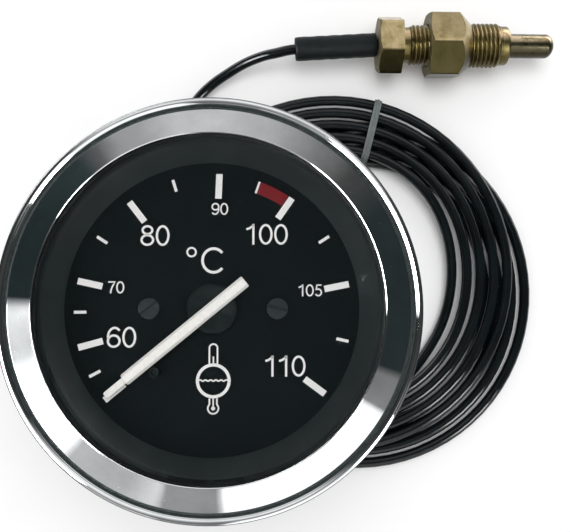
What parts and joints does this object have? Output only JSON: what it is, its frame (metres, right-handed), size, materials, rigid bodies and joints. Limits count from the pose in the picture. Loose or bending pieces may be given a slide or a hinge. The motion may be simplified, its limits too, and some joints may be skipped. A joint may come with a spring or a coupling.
{
  "type": "capillary temperature gauge",
  "caption": "Round panel gauge for water temperature: chrome bezel, black dial, Bourdon movement, clamp bracket, and a coiled capillary with a screw-in brass bulb.",
  "frame": {"origin": "on the axis of the round head, at the tips of the two mounting studs, which stand on the same surface as the coil", "axes": "+Z out of the dial, +Y towards the top of the dial, +X towards the dial's 3 o'clock side, where the coil and the bulb lie"},
  "size_m": [0.109, 0.1051, 0.07],
  "materials": {
    "black_case": "black baked enamel",
    "chrome_bezel": "polished chrome plate",
    "black_rubber": "matt",
    "clear_glass": "polished",
    "black_plastic": "fine matt texture",
    "dial_black": "matt black print",
    "dial_white": "white print",
    "dial_red": "red print",
    "blackened_steel": "blackened",
    "pointer_cream": "cream enamel",
    "boss_black": "gloss",
    "clock_brass": "bright machined",
    "spring_steel": "blued",
    "tube_bronze": "drawn bronze",
    "plated_steel": "bright zinc plate",
    "lamp_black": "moulded",
    "lamp_glass": "clear",
    "contact_brass": "tinned",
    "fitting_brass": "turned, lightly dulled",
    "bulb_brass": "drawn, dulled",
    "copper_tube": "drawn copper",
    "cord_black": "gloss black PVC sheath",
    "tie_grey": "twisted tie, plastic"
  },
  "bodies": {
    "head": {"case_shell": "black_case", "bezel": "chrome_bezel", "bezel_gasket": "black_rubber", "front_glass": "clear_glass", "spacer_ring": "black_plastic", "case_seal": "black_rubber", "dial_plate": "dial_black", "dial_scale": "dial_white", "red_zone": "dial_red", "dial_screws": "blackened_steel", "stop_pin": "blackened_steel", "hairspring": "spring_steel", "hairspring_stud": "clock_brass", "bourdon_tube": "tube_bronze", "socket_block": "fitting_brass", "socket_screws": "plated_steel", "back_plate": "clock_brass", "front_plate": "clock_brass", "plate_pillars": "clock_brass", "pillar_screws": "plated_steel", "standoffs": "plated_steel", "case_screws": "plated_steel", "dial_posts": "clock_brass", "mounting_studs": "plated_steel", "stud_nuts": "plated_steel", "capillary_gland": "fitting_brass", "capillary_core": "copper_tube", "capillary_tail": "cord_black", "capillary_coil": "cord_black", "coil_tie": "tie_grey", "capillary_lead": "cord_black", "thrust_washer": "clock_brass", "thermometer_bulb": "bulb_brass", "bulb_adaptor": "fitting_brass"},
    "pointer": {"pointer_blade": "pointer_cream", "pointer_boss": "boss_black", "pinion_arbor": "clock_brass"},
    "sector": {"sector_gear": "clock_brass", "sector_arbor": "plated_steel"},
    "tube_tip": {"bourdon_end": "clock_brass"},
    "link": {"tip_link": "clock_brass"},
    "bracket": {"clamp_bracket": "plated_steel", "clamp_washers": "plated_steel"},
    "nut_left": {"thumb_nut_left": "clock_brass"},
    "nut_right": {"thumb_nut_right": "clock_brass"},
    "sleeve": {"boot_sleeve": "black_rubber"},
    "pressure_nut": {"gland_nut": "fitting_brass"},
    "lamp": {"lamp_holder": "lamp_black", "lamp_bulb": "lamp_glass", "lamp_terminal": "contact_brass"}
  },
  "joints": [
    {"name": "pointer_sweep", "type": "hinge", "parent": "head", "child": "pointer", "pos_m": [0, 0, 0.0635], "axis": [0, 0, 1], "range_deg": [-256, 0], "deforming": ["hairspring"]},
    {"name": "sector_swing", "type": "hinge", "parent": "head", "child": "sector", "pos_m": [0, -0.0196, 0.0416], "axis": [0, 0, 1], "range_deg": [0, 42.67]},
    {"name": "tip_slide", "type": "slide", "parent": "head", "child": "tube_tip", "axis": [0.9848, -0.1736, 0], "range_m": [0, 0.00339], "stiffness_N_per_m": 300, "deforming": ["bourdon_tube"]},
    {"name": "link_swing", "type": "hinge", "parent": "tube_tip", "child": "link", "pos_m": [0.00648, -0.02259, 0.0429], "axis": [0, 0, 1], "range_deg": [-4.14, 0]},
    {"name": "clamp_slide", "type": "slide", "parent": "head", "child": "bracket", "axis": [0, 0, 1], "range_m": [0, 0.0049]},
    {"name": "thumb_nut_left_turn", "type": "hinge", "parent": "bracket", "child": "nut_left", "pos_m": [-0.019, 0, 0.008], "axis": [0, 0, 1], "range_deg": [0, 2520]},
    {"name": "thumb_nut_right_turn", "type": "hinge", "parent": "bracket", "child": "nut_right", "pos_m": [0.019, 0, 0.008], "axis": [0, 0, 1], "range_deg": [0, 2520]},
    {"name": "sleeve_slide", "type": "slide", "parent": "head", "child": "sleeve", "axis": [1, 0, 0], "range_m": [0, 0.005]},
    {"name": "gland_nut_turn", "type": "hinge", "parent": "sleeve", "child": "pressure_nut", "pos_m": [0.0376, 0.0623, 0.00795], "axis": [1, 0, 0], "range_deg": [0, 1800]},
    {"name": "lamp_holder_pull", "type": "slide", "parent": "head", "child": "lamp", "axis": [0, 0, -1], "range_m": [0, 0.0105]}
  ],
  "couplings": [
    {"joint": "pointer_sweep", "follows": "tip_slide", "rad_per_m": -1318},
    {"joint": "sector_swing", "follows": "tip_slide", "rad_per_m": 219.67},
    {"joint": "link_swing", "follows": "tip_slide", "rad_per_m": -21.304},
    {"joint": "thumb_nut_left_turn", "follows": "clamp_slide", "rad_per_m": 8976},
    {"joint": "thumb_nut_right_turn", "follows": "clamp_slide", "rad_per_m": 8976},
    {"joint": "gland_nut_turn", "follows": "sleeve_slide", "rad_per_m": 6283.2}
  ]
}
